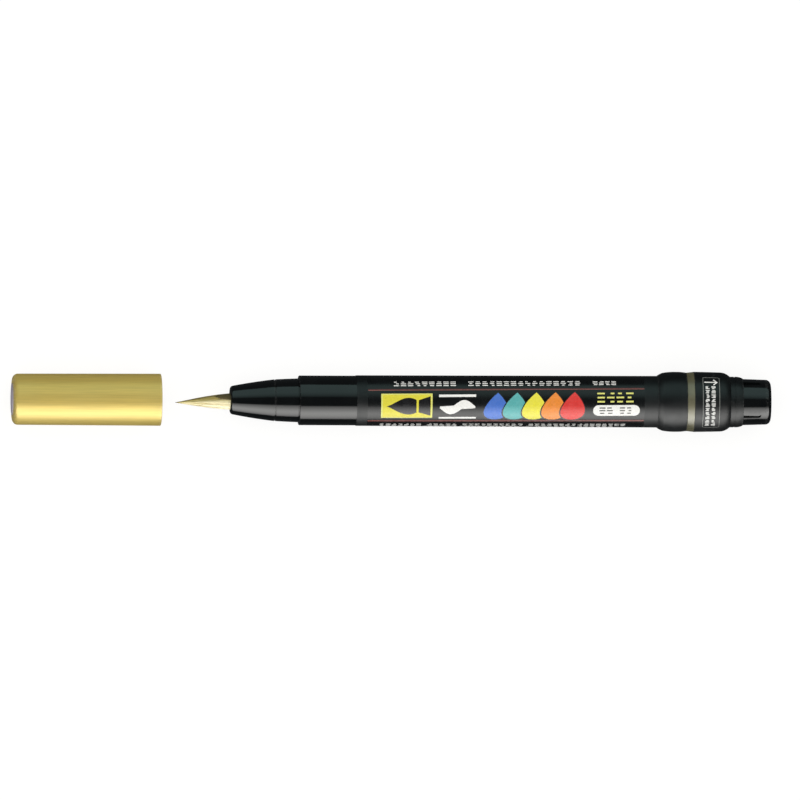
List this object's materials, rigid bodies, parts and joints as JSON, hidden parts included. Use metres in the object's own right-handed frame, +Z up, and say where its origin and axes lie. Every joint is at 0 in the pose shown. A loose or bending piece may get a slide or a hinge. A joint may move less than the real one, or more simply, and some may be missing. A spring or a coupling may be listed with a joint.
{
  "type": "brush paint marker",
  "caption": "Brush-tipped paint marker for lettering: pull-off cap, flexible tuft, tank barrel and a spring-back push button that pumps paint to the brush.",
  "frame": {"origin": "on the pen's axis at the barrel's front face, where the cap's mouth stops", "axes": "+X along the pen from the brush to the push button, +Z up, with the printed label facing up"},
  "size_m": [0.1783, 0.014, 0.014],
  "materials": {
    "gold_cap": "satin gold anodised",
    "end_plug_grey": "flat, moulded",
    "liner_white": "natural, moulded",
    "gold_bristle": "fine filaments wet with gold paint",
    "natural_plastic": "translucent natural, moulded",
    "gloss_black": "polished",
    "barrel_black": "polished",
    "film_black": "satin printed film",
    "satin_black": "satin, moulded",
    "ring_gold": "satin olive gold",
    "button_black": "polished",
    "seal_rubber": "matte",
    "steel": "polished ball",
    "spring_steel": "drawn wire"
  },
  "bodies": {
    "marker": {"barrel": "barrel_black", "label_film": "film_black", "neck": "gloss_black", "neck_seal": "seal_rubber", "nozzle": "gloss_black", "brush_ferrule": "natural_plastic", "brush_tuft": "gold_bristle", "feed_tube": "natural_plastic", "feed_joint": "natural_plastic", "pump_cylinder": "natural_plastic", "tank_seal": "seal_rubber", "valve_cage": "natural_plastic", "valve_spring": "spring_steel", "return_spring": "spring_steel", "front_collar": "satin_black", "colour_ring": "ring_gold", "rear_collar": "satin_black"},
    "cap": {"cap_shell": "gold_cap", "cap_end_plug": "end_plug_grey", "cap_liner": "liner_white"},
    "button": {"knock_button": "button_black", "plunger": "natural_plastic", "plunger_seal": "seal_rubber"},
    "mixing_ball": {"mixing_ball": "steel"},
    "check_ball": {"check_ball": "steel"}
  },
  "joints": [
    {"name": "cap_slide", "type": "slide", "parent": "marker", "child": "cap", "axis": [1, 0, 0], "range_m": [0, 0.0323]},
    {"name": "button_press", "type": "slide", "parent": "marker", "child": "button", "axis": [-1, 0, 0], "range_m": [0, 0.004], "stiffness_N_per_m": 400, "springref_m": -0.005, "deforming": ["return_spring"]},
    {"name": "mixing_ball_run", "type": "slide", "parent": "marker", "child": "mixing_ball", "axis": [1, 0, 0], "range_m": [-0.0288, 0.0355]},
    {"name": "check_ball_lift", "type": "slide", "parent": "marker", "child": "check_ball", "axis": [-1, 0, 0], "range_m": [0, 0.0005], "stiffness_N_per_m": 20, "springref_m": -0.0005, "deforming": ["valve_spring"]}
  ]
}
